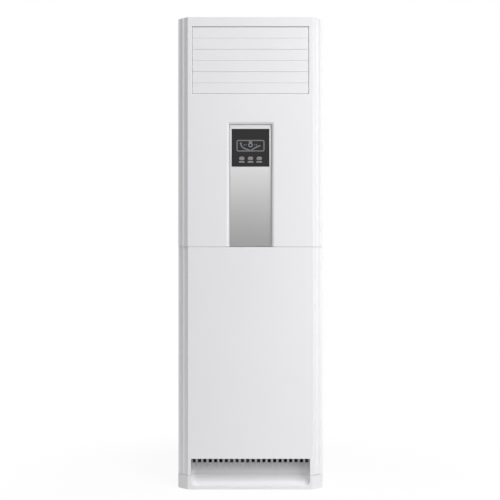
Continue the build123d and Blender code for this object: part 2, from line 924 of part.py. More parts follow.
def louver_motor():
    """Small geared motor on the left wall of the duct, in line with the top louver."""
    wall_x = -duct_outer_half
    ear_x = wall_x - swing_motor_ear
    axis = Pos(louver_axis_y, louver_axes[0])
    can = axis * Pos(swing_motor_offset, 0)
    motor = from_side(can * Rectangle(swing_motor_ear_width, swing_motor_ear_span), ear_x, wall_x)
    nose = axis * Pos(swing_motor_offset / 2, 0) * pin_outline(swing_motor_nose_r)
    motor += from_side(nose, ear_x, wall_x)
    motor -= from_side(axis * bore_outline(louver_pin_r + side_play), ear_x - over, wall_x + over)
    return motor + from_side(can * Circle(swing_motor_r), ear_x - swing_motor_length, ear_x)


def vane_motor():
    """Small geared motor above the duct, in line with the first vane."""
    wall_z = duct_high + duct_wall
    ear_z = wall_z + swing_motor_ear
    axis = Pos(vane_axes[0], vane_axis_y)
    can = axis * Pos(0, swing_motor_offset)
    motor = from_plan(can * Rectangle(swing_motor_ear_span, swing_motor_ear_width), wall_z, ear_z)
    nose = axis * Pos(0, swing_motor_offset / 2) * pin_outline(swing_motor_nose_r)
    motor += from_plan(nose, wall_z, ear_z)
    motor -= from_plan(axis * bore_outline(vane_pin_r + side_play), wall_z - over, ear_z + over)
    return motor + from_plan(can * Circle(swing_motor_r), ear_z, ear_z + swing_motor_length)


# ---- blower ----

def at_blower(shape):
    return Pos(blower_x, 0, blower_z) * shape


def blade_section():
    """Curved blade across the rim, drawn as a few flat facets."""
    inner_r = impeller_r - blade_depth
    curve = ThreePointArc((inner_r, 0), (impeller_r - blade_depth / 2, blade_crown), (impeller_r, 0))
    outer = [curve @ (step / blade_facets) for step in range(blade_facets + 1)]
    inner = [point - Vector(0, blade_thickness) for point in reversed(outer)]
    return outline(outer + inner)


def blower_impeller():
    """Forward curved centrifugal wheel: front ring, blades, back disc and hub."""
    disc_y = impeller_back_y - impeller_disc
    rim_r = impeller_r + impeller_rim
    wheel = rod_y(disc_y, impeller_back_y, 0, 0, rim_r)
    wheel += rod_y(disc_y - hub_length, disc_y, 0, 0, hub_r)
    ring_far = impeller_front_y + impeller_ring
    ring = rod_y(impeller_front_y, ring_far, 0, 0, rim_r)
    ring_bore = impeller_r - blade_depth - impeller_rim
    ring -= rod_y(impeller_front_y - over, ring_far + over, 0, 0, ring_bore)
    blade = from_front(blade_section(), ring_far - over, disc_y + over)
    turn = 360 / blade_count
    wheel = wheel + [Rot(0, turn * step, 0) * blade for step in range(blade_count)] + ring
    wheel -= rod_y(disc_y - hub_length - over, impeller_back_y + over, 0, 0, shaft_r)
    return at_blower(wheel)


def motor_shaft():
    near = impeller_back_y - impeller_disc - hub_length
    return at_blower(rod_y(near, volute_back_y + bracket_sheet + shaft_overlap, 0, 0, shaft_r))


def volute_outline(grow, top):
    """Scroll of three growing quarter arcs, then a straight duct up to top."""
    half = volute_growth / 2
    r1 = volute_first_r + grow
    r2 = r1 + volute_growth
    r3 = r2 + volute_growth
    diag = math.sqrt(0.5)
    start = (-half, r1 - half)
    left = (-half - r1, -half)
    bottom = (half, -half - r2)
    right = (half + r3, half)
    inner_x = tongue_offset - grow
    edge = Curve() + [
        Line((inner_x, start[1]), start),
        ThreePointArc(start, (-half - r1 * diag, r1 * diag - half), left),
        ThreePointArc(left, (half - r2 * diag, -half - r2 * diag), bottom),
        ThreePointArc(bottom, (half + r3 * diag, half - r3 * diag), right),
        Line(right, (right[0], top)),
        Line((right[0], top), (inner_x, top)),
        Line((inner_x, top), (inner_x, start[1])),
    ]
    return make_face(edge)


def volute_back():
    """Back half of the scroll housing: back wall and scroll wall in one moulding."""
    rise = deck_z - blower_z
    floor_y = volute_back_y - volute_wall
    housing = from_front(volute_outline(volute_wall, rise), volute_front_y, volute_back_y)
    housing -= from_front(volute_outline(0.0, rise + over), volute_front_y - over, floor_y)
    housing -= rod_y(floor_y - over, volute_back_y + over, 0, 0, shaft_r + shaft_room)
    return at_blower(housing)


def volute_front():
    """Front cover of the scroll, with a bell mouth that leads the air into the wheel."""
    rise = deck_z - blower_z
    near = volute_front_y - volute_wall
    outer = inlet_r + bell_roll - volute_wall
    thin = bell_roll - volute_wall
    diag = math.sqrt(0.5)
    cover = from_front(volute_outline(volute_wall, rise), near, volute_front_y)
    cover -= rod_y(near - over, volute_front_y + over, 0, 0, outer)
    centre_y = near + bell_roll
    bell = outline([
        (outer, near), (outer - bell_roll * diag, centre_y - bell_roll * diag),
        (outer - bell_roll, centre_y), (outer - thin, centre_y),
        (outer - thin * diag, centre_y - thin * diag), (outer, near + volute_wall)
    ])
    return at_blower(cover + revolve(bell, axis=Axis.Y))


def motor_bracket():
    """Folded plate that stands in the base tray and carries motor and scroll."""
    far = volute_back_y + bracket_sheet
    high = blower_z + motor_r + bracket_corner
    shoulder = bracket_half - bracket_corner
    face = outline([
        (-shoulder, sheet), (shoulder, sheet), (bracket_half, sheet + bracket_corner),
        (bracket_half, high - bracket_corner), (shoulder, high), (-shoulder, high),
        (-bracket_half, high - bracket_corner), (-bracket_half, sheet + bracket_corner)
    ])
    plate = from_front(Pos(blower_x, 0) * face, volute_back_y, far)
    plate += block(
        blower_x - shoulder, blower_x + shoulder, volute_back_y, far + bracket_foot,
        sheet, sheet + bracket_sheet
    )
    return plate - at_blower(rod_y(volute_back_y - over, far + over, 0, 0, shaft_r + shaft_room))


def blower_motor():
    near = volute_back_y + bracket_sheet
    can = rod_y(near, near + motor_length, 0, 0, motor_r)
    can = chamfer(can.edges().sort_by(Axis.Y)[-1], length=motor_bevel)
    return at_blower(can - rod_y(near - over, near + shaft_overlap + side_play, 0, 0, shaft_r + run_fit))


def blower_deck():
    """Partition between the blower and the heat exchanger, open over the scroll's duct."""
    low = deck_z - over
    high = deck_z + sheet + over
    deck = block(
        -inner_half, inner_half, panel_back_y + sheet, back_face_y - 2 * sheet, deck_z, deck_z + sheet
    )
    duct_right = blower_x + volute_growth / 2 + volute_first_r + 2 * volute_growth
    deck -= block(
        blower_x + tongue_offset, duct_right, volute_front_y, volute_back_y - volute_wall, low, high
    )
    left = liquid_column[0] - liquid_pipe_r - pipe_room
    right = gas_column[0] + gas_pipe_r + pipe_room
    near = liquid_column[1] - liquid_pipe_r - pipe_room
    return deck - block(left, right, near, gas_column[1] + gas_pipe_r + pipe_room, low, high)


# ---- heat exchanger ----

def coil_length():
    return math.hypot(coil_high[0] - coil_low[0], coil_high[1] - coil_low[1])


def coil_along(distance, across=0.0):
    """Point (y, z) on the coil's middle plane, measured up its slope from the lower edge."""
    slope_y = (coil_high[0] - coil_low[0]) / coil_length()
    slope_z = (coil_high[1] - coil_low[1]) / coil_length()
    y = coil_low[0] + slope_y * distance - slope_z * across
    z = coil_low[1] + slope_z * distance + slope_y * across
    return (y, z)


def bend_place(row):
    """Middle of a return bend, as a distance up the coil's slope."""
    return coil_length() * (row + 0.75) / (bend_count + 0.5)


def evaporator_fins():
    """Slanted coil: a thin core in the plane of the tubes, with upright fins on both sides."""
    low = Vector(0, *coil_low)
    slope = Vector(0, *coil_high) - low
    spacing = (2 * coil_half - fin_width) / (fin_count - 1)
    fins = [
        Pos(-coil_half + fin_width / 2 + spacing * fin, 0) * Rectangle(fin_width, coil_thickness)
        for fin in range(fin_count)
    ]
    across = Plane(origin=low, x_dir=(1, 0, 0), z_dir=slope)
    return extrude(across * (Rectangle(2 * coil_half, coil_core) + fins), amount=slope.length)


def evaporator_end_plates():
    """Sheets at both ends of the coil, each with a foot that stands in the drain pan."""
    half = coil_thickness / 2 + coil_plate_margin
    low = -coil_plate_margin
    high = coil_length() + coil_plate_margin
    corners = [(low, -half), (high, -half), (high, half), (low, half)]
    section = outline([coil_along(*corner) for corner in corners])
    plates = []
    for x in (-coil_half - sheet, coil_half):
        foot = block(
            x, x + sheet, coil_low[0] - coil_plate_foot, coil_low[0] + coil_plate_foot,
            pan_low + pan_wall, coil_low[1] + coil_plate_foot
        )
        plates.append(from_side(section, x, x + sheet) + foot)
    return Compound(children=plates)


def evaporator_tubes():
    """Return bends that stand out of both end plates, each an eight-sided tube."""
    short = bend_r * math.tan(math.pi / pin_sides)
    half_loop = [
        (-bend_r, 0), (-bend_r, short), (-short, bend_r), (short, bend_r), (bend_r, short), (bend_r, 0)
    ]
    bends = []
    for side in (-1, 1):
        root = side * (coil_half + sheet)
        for row in range(bend_count):
            middle = bend_place(row)
            points = [(root + side * out, *coil_along(middle + along)) for along, out in half_loop]
            section = Plane(origin=points[0], z_dir=(side, 0, 0)) * pin_outline(tube_r)
            bends.append(sweep(section, path=Polyline(*points), transition=Transition.RIGHT))
    return Compound(children=bends)


def drain_pan():
    """Tray under the coil, screwed between the two sides, with a spout at the left."""
    floor_z = pan_low + pan_wall
    pan = block(-inner_half, inner_half, pan_near, pan_far, pan_low, pan_high)
    pan -= block(
        -inner_half + pan_wall, inner_half - pan_wall, pan_near + pan_wall, pan_far - pan_wall,
        floor_z, pan_high + over
    )
    spout = Pos(-inner_half + spout_inset, pan_far - spout_back)
    pan += from_plan(spout * pin_outline(spout_r), pan_low - spout_drop, floor_z)
    bore = spout * pin_outline(spout_r - pan_wall)
    return pan - from_plan(bore, pan_low - spout_drop - over, floor_z + over)


def air_guide_foam():
    """Foam liner that turns the rising air forward into the outlet."""
    half = half_width - flange - foam_side_gap
    far = back_face_y - 2 * sheet - foam_gap
    near = duct_back_y + foam_duct_gap
    low = coil_high[1] + foam_coil_gap

    def quarter(inset):
        """Rounded corner between the back and the roof, run past the liner's two ends."""
        size = cabinet_height
        square = Pos(far - inset - size / 2, roof_z - inset - size / 2) * Rectangle(size, size)
        corner = square.vertices().sort_by(Axis.X)[-2:].sort_by(Axis.Y)[-1]
        return fillet(corner, radius=foam_radius - inset)

    ends = Pos((near + far) / 2, (low + roof_z) / 2) * Rectangle(far - near, roof_z - low)
    return from_side((quarter(0.0) - quarter(foam_thickness)) & ends, -half, half)


# ---- pipes and electrical parts ----

def pipe(start_distance, column, end, radius):
    """Copper pipe from the coil's right end down behind the scroll to the rear port."""
    y, z = coil_along(start_distance)
    x = coil_half + sheet
    points = [
        (x, y, z), (column[0], y, z), (column[0], column[1], z), (column[0], column[1], end[1]),
        (end[0], column[1], end[1]), (end[0], pipe_end_y, end[1])
    ]
    path = FilletPolyline(*points, radius=pipe_bend * radius)
    section = Plane(origin=points[0], z_dir=(1, 0, 0)) * pin_outline(radius)
    return sweep(section, path=path)


def gas_pipe():
    return pipe((bend_place(0) + bend_place(1)) / 2, gas_column, gas_end, gas_pipe_r)


def liquid_pipe():
    return pipe(bend_place(0) / 2, liquid_column, liquid_end, liquid_pipe_r)


def flare_nuts():
    nuts = []
    for end, radius in ((gas_end, gas_pipe_r), (liquid_end, liquid_pipe_r)):
        section = Pos(*end) * RegularPolygon(radius + nut_wall, 6)
        nuts.append(from_front(section, pipe_end_y, pipe_end_y + nut_length))
    return Compound(children=nuts)


def electrical_box():
    """Steel box on the deck behind the intake panel, open to the front."""
    box = block(box_left, box_right, box_near, box_far, box_low, box_high)
    return box - block(
        box_left + sheet, box_right - sheet, box_near - over, box_far - sheet,
        box_low + sheet, box_high - sheet
    )


def electrical_box_cover():
    near = box_near - sheet
    cover = block(box_left, box_right, near, box_near, box_low, box_high)
    return cover + block(box_left, box_right, near, box_near + box_hem, box_high, box_high + sheet)


def main_board():
    """Circuit board on four posts, with its heat sink and relay."""
    wall_y = box_far - sheet
    far = wall_y - main_board_stand
    near = far - board_thickness
    left = box_left + main_board_side
    right = left + main_board_width
    low = box_low + main_board_rise
    high = low + main_board_tall
    board = block(left, right, near, far, low, high)
    for x in (left + post_inset, right - post_inset):
        for z in (low + post_inset, high - post_inset):
            board += from_front(Pos(x, z) * pin_outline(post_r), far, wall_y)
    for x, z in (
        (left + chip_rise, low + chip_rise), (right - chip_rise - chip_size, high - chip_rise - chip_size)
    ):
        board += block(x, x + chip_size, near - chip_height, near, z, z + chip_size)
    return board


def capacitor():
    low = box_low + sheet
    y = box_far - sheet - capacitor_r
    return rod_z(low, low + capacitor_height, box_right - capacitor_inset, y, capacitor_r)


def transformer():
    far = box_far - sheet
    near = far - transformer_depth
    right = box_right - transformer_inset
    left = right - transformer_width
    low = box_low + transformer_rise
    high = low + transformer_tall
    margin = transformer_margin
    coil = block(left + margin, right - margin, near - transformer_coil, near, low + margin, high - margin)
    return block(left, right, near, far, low, high) + coil


def terminal_block():
    far = box_far - sheet
    near = far - terminal_depth
    low = box_low + sheet
    left = box_left + terminal_inset
    strip = block(left, left + terminal_width, near, far, low, low + terminal_tall)
    pitch = terminal_width / terminal_count
    well_low = low + (terminal_tall - terminal_well_tall) / 2
    for place in range(terminal_count):
        x = left + pitch * (place + 0.5)
        strip -= block(
            x - terminal_well / 2, x + terminal_well / 2, near - over, near + terminal_well_depth,
            well_low, well_low + terminal_well_tall
        )
    return strip


def cable_gland():
    """Gland in the back sheet: a neck, a flange outside and a nut inside."""
    place = Pos(gland_x, gland_z)
    inner_y = back_face_y - sheet
    near = inner_y - gland_inner
    gland = from_front(place * pin_outline(gland_r - gland_gap), near, back_face_y)
    gland += from_front(place * pin_outline(gland_r + gland_flange), back_face_y, back_face_y + gland_proud)
    gland += from_front(place * RegularPolygon(gland_r + gland_nut, 6), near, inner_y - gland_gap)
    return gland - rod_y(near - over, back_y + over, gland_x, gland_z, gland_bore_r)


# ---- files ----

def save(shape, node):
    export_step(shape, "parts/" + node + ".step")


single = [
    base_plinth, base_pan, back_panel, top_cover, cabinet_screws, upper_front_panel, control_strip,
    display_window, display_box, display_board, outlet_frame, louver_motor, vane_motor, air_guide_foam,
    evaporator_fins, evaporator_end_plates, evaporator_tubes, drain_pan, gas_pipe, liquid_pipe,
    flare_nuts, volute_back, volute_front, blower_motor, motor_bracket, blower_deck, electrical_box,
    electrical_box_cover, main_board, capacitor, transformer, terminal_block, cable_gland,
    lower_front_panel, intake_grille, filter_frame, filter_mesh, blower_impeller, motor_shaft,
    louver_link, vane_link,
]

for make in single:
    save(make(), make.__name__)

save(side_panel(), "right_side_panel")
save(mirrored(side_panel()), "left_side_panel")
for row in range(louver_count):
    save(louver(row), "louver_" + str(row + 1))
for column in range(vane_count):
    save(vane(column), "vane_" + str(column + 1))
for place, name in ((-1, "left_button"), (0, "middle_button"), (1, "right_button")):
    save(control_button(place), name)
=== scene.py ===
import bpy
import bmesh
import json
import math
import numpy as np
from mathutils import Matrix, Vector


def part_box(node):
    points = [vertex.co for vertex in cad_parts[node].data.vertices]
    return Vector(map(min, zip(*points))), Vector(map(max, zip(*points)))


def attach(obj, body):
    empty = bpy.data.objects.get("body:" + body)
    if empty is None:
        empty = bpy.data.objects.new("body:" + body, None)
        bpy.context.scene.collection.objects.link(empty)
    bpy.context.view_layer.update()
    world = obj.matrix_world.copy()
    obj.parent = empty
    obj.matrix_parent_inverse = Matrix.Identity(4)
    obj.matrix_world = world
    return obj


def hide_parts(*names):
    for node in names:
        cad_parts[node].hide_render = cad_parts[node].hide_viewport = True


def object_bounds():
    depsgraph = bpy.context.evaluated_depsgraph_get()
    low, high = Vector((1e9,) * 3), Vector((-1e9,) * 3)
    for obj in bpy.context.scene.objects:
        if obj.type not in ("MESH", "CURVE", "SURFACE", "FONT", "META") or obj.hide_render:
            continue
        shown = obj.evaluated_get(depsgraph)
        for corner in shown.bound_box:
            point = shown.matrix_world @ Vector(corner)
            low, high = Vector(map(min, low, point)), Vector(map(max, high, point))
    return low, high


# Floor standing air conditioner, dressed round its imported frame. Metres throughout.

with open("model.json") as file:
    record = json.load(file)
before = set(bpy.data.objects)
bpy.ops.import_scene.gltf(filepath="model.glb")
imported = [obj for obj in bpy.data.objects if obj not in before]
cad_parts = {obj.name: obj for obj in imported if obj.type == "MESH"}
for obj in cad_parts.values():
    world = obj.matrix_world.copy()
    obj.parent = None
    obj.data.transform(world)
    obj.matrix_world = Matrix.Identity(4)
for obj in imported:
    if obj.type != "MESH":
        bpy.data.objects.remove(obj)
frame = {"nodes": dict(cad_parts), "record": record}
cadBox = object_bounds()
nodes = frame["nodes"]
print("frame loaded:", len(nodes), "nodes")

# camera as in the photograph, soft lamps from the right and high above, and a narrow one on the scoop

camera = {
    "distance": 3.94,      # from the flat front to the lens
    "x": -0.0018,
    "z": 0.887,
    "lens": 76.6,
    "sensor": 36.0,
}

lamps = {
    "right": {"at": (1.1, -0.9, 1.0), "aim": (0.0, -0.15, 1.0), "wide": 0.6, "tall": 1.8, "power": 6.4},
    "side": {"at": (1.2, -1.8, 2.8), "aim": (0.0, -0.2, 0.2), "wide": 1.0, "tall": 1.0, "power": 10.0},
    "high": {"at": (0.8, -2.6, 7.0), "aim": (0.0, -0.15, 0.4), "wide": 2.0, "tall": 2.0, "power": 256.0},
    "low": {"at": (0.5, -1.3, 2.4), "aim": (0.0, -0.15, 0.0), "wide": 0.15, "power": 12.0,
            "cone": 20.0, "blend": 0.9},      # cone in degrees, blend its soft share
}

surround = {
    "ambient": 0.34,
    "floorSize": 9.0,
    "floorTone": 0.86,
    "nearLift": 0.92,      # share of plain white that the lens sees in the floor, by the object
    "fadeFrom": 0.35,      # from this far out the floor brightens
    "fadeTo": 1.25,        # and from here outwards it is plain white
}


def aimAt(thing, target):
    # turned so that its own -Z axis points at the target
    direction = Vector(target) - thing.location
    thing.rotation_euler = direction.to_track_quat("-Z", "Y").to_euler()


def addCamera(view):
    # looks level along +Y, from its distance in front of the object
    lens = bpy.data.cameras.new("photoCamera")
    lens.lens = view["lens"]
    lens.sensor_width = view["sensor"]
    eye = bpy.data.objects.new("photoCamera", lens)
    eye.location = (view["x"], cadBox[0][1] - view["distance"], view["z"])
    eye.rotation_euler = (math.radians(90), 0, 0)
    bpy.context.scene.collection.objects.link(eye)
    bpy.context.scene.camera = eye


def addLamp(name, lamp):
    # a lamp with a cone is a spot, any other a soft rectangle
    light = bpy.data.lights.new(name, "SPOT" if "cone" in lamp else "AREA")
    if "cone" in lamp:
        light.spot_size = math.radians(lamp["cone"])
        light.spot_blend = lamp["blend"]
        light.shadow_soft_size = lamp["wide"]
    else:
        light.shape = "RECTANGLE"
        light.size = lamp["wide"]
        light.size_y = lamp["tall"]
    light.energy = lamp["power"]
    holder = bpy.data.objects.new(name, light)
    holder.location = lamp["at"]
    aimAt(holder, lamp["aim"])
    bpy.context.scene.collection.objects.link(holder)


def seenDirectly(tree):
    # 1 on rays from the lens, through glass or off a glossy surface, otherwise 0
    path = tree.nodes.new("ShaderNodeLightPath")
    total = path.outputs["Is Camera Ray"]
    for kind in ("Is Transmission Ray", "Is Glossy Ray"):
        either = tree.nodes.new("ShaderNodeMath")
        either.operation = "MAXIMUM"
        tree.links.new(total, either.inputs[0])
        tree.links.new(path.outputs[kind], either.inputs[1])
        total = either.outputs[0]
    return total


def addWorld(look):
    # grey light from all round, pure white where it is seen
    world = bpy.data.worlds.new("studio")
    world.use_nodes = True
    tree = world.node_tree
    tree.nodes.clear()
    out = tree.nodes.new("ShaderNodeOutputWorld")
    ambient = tree.nodes.new("ShaderNodeBackground")
    ambient.inputs["Strength"].default_value = look["ambient"]
    white = tree.nodes.new("ShaderNodeBackground")
    mix = tree.nodes.new("ShaderNodeMixShader")
    tree.links.new(seenDirectly(tree), mix.inputs[0])
    tree.links.new(ambient.outputs[0], mix.inputs[1])
    tree.links.new(white.outputs[0], mix.inputs[2])
    tree.links.new(mix.outputs[0], out.inputs["Surface"])
    for node in (ambient, white):
        node.inputs["Color"].default_value = (1, 1, 1, 1)
    bpy.context.scene.world = world


def addFloor(look):
    # pale floor that carries the shadow near the object and fades to white further out
    half = look["floorSize"] / 2
    mesh = bpy.data.meshes.new("studioFloor")
    corners = [(-half, -half, 0), (half, -half, 0), (half, half, 0), (-half, half, 0)]
    mesh.from_pydata(corners, [], [(0, 1, 2, 3)])
    floor = bpy.data.objects.new("studioFloor", mesh)
    bpy.context.scene.collection.objects.link(floor)
    material = bpy.data.materials.new("studioFloor")
    material.use_nodes = True
    tree = material.node_tree
    tree.nodes.clear()
    out = tree.nodes.new("ShaderNodeOutputMaterial")
    matt = tree.nodes.new("ShaderNodeBsdfDiffuse")
    tone = look["floorTone"]
    matt.inputs["Color"].default_value = (tone, tone, tone, 1)
    glow = tree.nodes.new("ShaderNodeEmission")
    place = tree.nodes.new("ShaderNodeTexCoord")
    reach = tree.nodes.new("ShaderNodeVectorMath")
    reach.operation = "LENGTH"
    fade = tree.nodes.new("ShaderNodeMapRange")
    fade.interpolation_type = "SMOOTHSTEP"
    fade.inputs["From Min"].default_value = look["fadeFrom"]
    fade.inputs["From Max"].default_value = look["fadeTo"]
    fade.inputs["To Min"].default_value = look["nearLift"]
    share = tree.nodes.new("ShaderNodeMath")
    share.operation = "MULTIPLY"
    mix = tree.nodes.new("ShaderNodeMixShader")
    tree.links.new(place.outputs["Object"], reach.inputs[0])
    tree.links.new(reach.outputs["Value"], fade.inputs["Value"])
    tree.links.new(seenDirectly(tree), share.inputs[0])
    tree.links.new(fade.outputs["Result"], share.inputs[1])
    tree.links.new(share.outputs[0], mix.inputs[0])
    tree.links.new(matt.outputs[0], mix.inputs[1])
    tree.links.new(glow.outputs[0], mix.inputs[2])
    tree.links.new(mix.outputs[0], out.inputs["Surface"])
    mesh.materials.append(material)


bpy.context.scene.view_settings.view_transform = "Standard"
addCamera(camera)
for lampName, lamp in lamps.items():
    addLamp(lampName, lamp)
addWorld(surround)
addFloor(surround)
print("camera, lamps and floor placed")

# Colours are linear. spread is the broad colour drift, grain is in cells per metre, depth in metres, and
# fade is painted shade, darkening the colour to its tone from the height high to the height low.

finishes = {
    "frontPlastic": {"colour": (0.80, 0.80, 0.815), "spread": 0.008, "rough": 0.42, "roughSpread": 0.05,
                     "grain": 900.0, "depth": 0.00002, "specular": 0.35},
    "louverPlastic": {"colour": (0.80, 0.80, 0.815), "spread": 0.008, "rough": 0.38, "roughSpread": 0.05,
                      "grain": 900.0, "depth": 0.00002, "specular": 0.35},
    "paintedSheet": {"colour": (0.78, 0.78, 0.79), "spread": 0.010, "rough": 0.46, "roughSpread": 0.06,
                     "grain": 420.0, "depth": 0.00004, "specular": 0.4},
    # grillePlastic's fade is painted shade: the colour darkens to 0.62 towards the top of the cove, where
    # the panel's overhang shades it
    "grillePlastic": {"colour": (0.78, 0.78, 0.795), "spread": 0.010, "rough": 0.5, "roughSpread": 0.05,
                      "grain": 900.0, "depth": 0.00002, "specular": 0.35,
                      "fade": {"low": 0.090, "high": 0.052, "tone": 0.62}},
    "innerPlastic": {"colour": (0.55, 0.55, 0.56), "spread": 0.02, "rough": 0.55, "roughSpread": 0.06,
                     "grain": 700.0, "depth": 0.00003, "specular": 0.4},
    "vanePlastic": {"colour": (0.46, 0.46, 0.47), "spread": 0.02, "rough": 0.5, "roughSpread": 0.05,
                    "grain": 800.0, "depth": 0.00002, "specular": 0.4},
    # silverPaint's fade is painted shading and reflection: the strip is painted lighter at its top and
    # darker towards its foot, as the light falls on it
    "silverPaint": {"colour": (0.85, 0.85, 0.857), "spread": 0.02, "rough": 0.4, "roughSpread": 0.05,
                    "grain": 1500.0, "depth": 0.00001, "specular": 0.4, "metal": 0.35,
                    "fade": {"low": 0.85, "high": 1.40, "tone": 0.388}},
    "windowBlack": {"colour": (0.020, 0.020, 0.021), "spread": 0.04, "rough": 0.16, "roughSpread": 0.04,
                    "grain": 300.0, "depth": 0.000002, "specular": 0.22},
    "buttonGrey": {"colour": (0.22, 0.215, 0.222), "spread": 0.03, "rough": 0.4, "roughSpread": 0.05,
                   "grain": 900.0, "depth": 0.00002, "specular": 0.4},
    "printGrey": {"colour": (0.175, 0.172, 0.178), "spread": 0.03, "rough": 0.5, "roughSpread": 0.05,
                  "grain": 900.0, "depth": 0.00001, "specular": 0.3},
    "printBlue": {"colour": (0.23, 0.26, 0.30), "spread": 0.03, "rough": 0.5, "roughSpread": 0.05,
                  "grain": 900.0, "depth": 0.00001, "specular": 0.3},
    "printPale": {"colour": (0.26, 0.255, 0.265), "spread": 0.03, "rough": 0.5, "roughSpread": 0.05,
                  "grain": 900.0, "depth": 0.00001, "specular": 0.3},
    # the grey of the painted shade in the gap beside the silver strip
    "paintedGapShadeGrey": {"colour": (0.46, 0.46, 0.465), "spread": 0.02, "rough": 0.6, "roughSpread": 0.05,
                   "grain": 900.0, "depth": 0.00002, "specular": 0.3},
    "filterNet": {"colour": (0.06, 0.065, 0.07), "spread": 0.05, "rough": 0.6, "roughSpread": 0.05,
                  "grain": 1200.0, "depth": 0.0004, "specular": 0.3,
                  "threads": {"axes": "XZ", "pitch": 0.0025}},
    "galvanised": {"colour": (0.50, 0.51, 0.52), "spread": 0.12, "rough": 0.42, "roughSpread": 0.12,
                   "grain": 90.0, "depth": 0.00002, "specular": 0.5, "metal": 0.9, "flakes": 70.0},
    "fanPlastic": {"colour": (0.06, 0.06, 0.063), "spread": 0.05, "rough": 0.5, "roughSpread": 0.06,
                   "grain": 700.0, "depth": 0.00003, "specular": 0.4},
    "bareAluminium": {"colour": (0.66, 0.67, 0.68), "spread": 0.04, "rough": 0.38, "roughSpread": 0.08,
                      "grain": 350.0, "depth": 0.0006, "specular": 0.5, "metal": 0.9,
                      "threads": {"axes": "X", "pitch": 0.0022}},
    "drawnCopper": {"colour": (0.60, 0.28, 0.17), "spread": 0.08, "rough": 0.34, "roughSpread": 0.10,
                    "grain": 120.0, "depth": 0.00002, "specular": 0.5, "metal": 1.0},
    "mouldedFoam": {"colour": (0.78, 0.78, 0.77), "spread": 0.03, "rough": 0.85, "roughSpread": 0.05,
                    "grain": 260.0, "depth": 0.0003, "specular": 0.2},
    "boardLacquer": {"colour": (0.03, 0.16, 0.05), "spread": 0.12, "rough": 0.35, "roughSpread": 0.08,
                     "grain": 220.0, "depth": 0.00003, "specular": 0.5},
    "motorPaint": {"colour": (0.11, 0.115, 0.12), "spread": 0.05, "rough": 0.45, "roughSpread": 0.07,
                   "grain": 400.0, "depth": 0.00003, "specular": 0.5},
    "blackRubber": {"colour": (0.025, 0.025, 0.025), "spread": 0.05, "rough": 0.7, "roughSpread": 0.05,
                    "grain": 600.0, "depth": 0.00004, "specular": 0.3},
}

# what all finishes share
finishPattern = {
    "driftScale": 3.5,             # cells of the colour drift per metre
    "driftDetail": 3.0,
    "driftStops": (0.3, 0.7),      # where its darker and its lighter tone sit
    "grainDetail": 2.0,
    "bump": 0.6,
    "waveRate": 20,                # radians that a wave texture of scale 1 turns in a metre
}


def fadedTone(tree, place, colour, fade):
    # painted shade: the colour times a tone that runs from 1 at the height high to the given tone at the
    # height low
    height = tree.nodes.new("ShaderNodeSeparateXYZ")
    ramp = tree.nodes.new("ShaderNodeMapRange")
    ramp.interpolation_type = "SMOOTHSTEP"
    ramp.inputs["From Min"].default_value = fade["low"]
    ramp.inputs["From Max"].default_value = fade["high"]
    ramp.inputs["To Min"].default_value = fade["tone"]
    scaled = tree.nodes.new("ShaderNodeVectorMath")
    scaled.operation = "SCALE"
    tree.links.new(place.outputs["Object"], height.inputs[0])
    tree.links.new(height.outputs["Z"], ramp.inputs["Value"])
    tree.links.new(colour, scaled.inputs[0])
    tree.links.new(ramp.outputs["Result"], scaled.inputs["Scale"])
    return scaled.outputs["Vector"]


def threadHeight(tree, place, threads):
    # highest where a thread or fin runs: the larger of one sine wave for each axis
    total = None
    for axis in threads["axes"]:
        wave = tree.nodes.new("ShaderNodeTexWave")
        wave.bands_direction = axis
        wave.inputs["Scale"].default_value = 2 * math.pi / (finishPattern["waveRate"] * threads["pitch"])
        tree.links.new(place.outputs["Object"], wave.inputs["Vector"])
        if total is None:
            total = wave.outputs["Fac"]
            continue
        larger = tree.nodes.new("ShaderNodeMath")
        larger.operation = "MAXIMUM"
        tree.links.new(total, larger.inputs[0])
        tree.links.new(wave.outputs["Fac"], larger.inputs[1])
        total = larger.outputs[0]
    return total


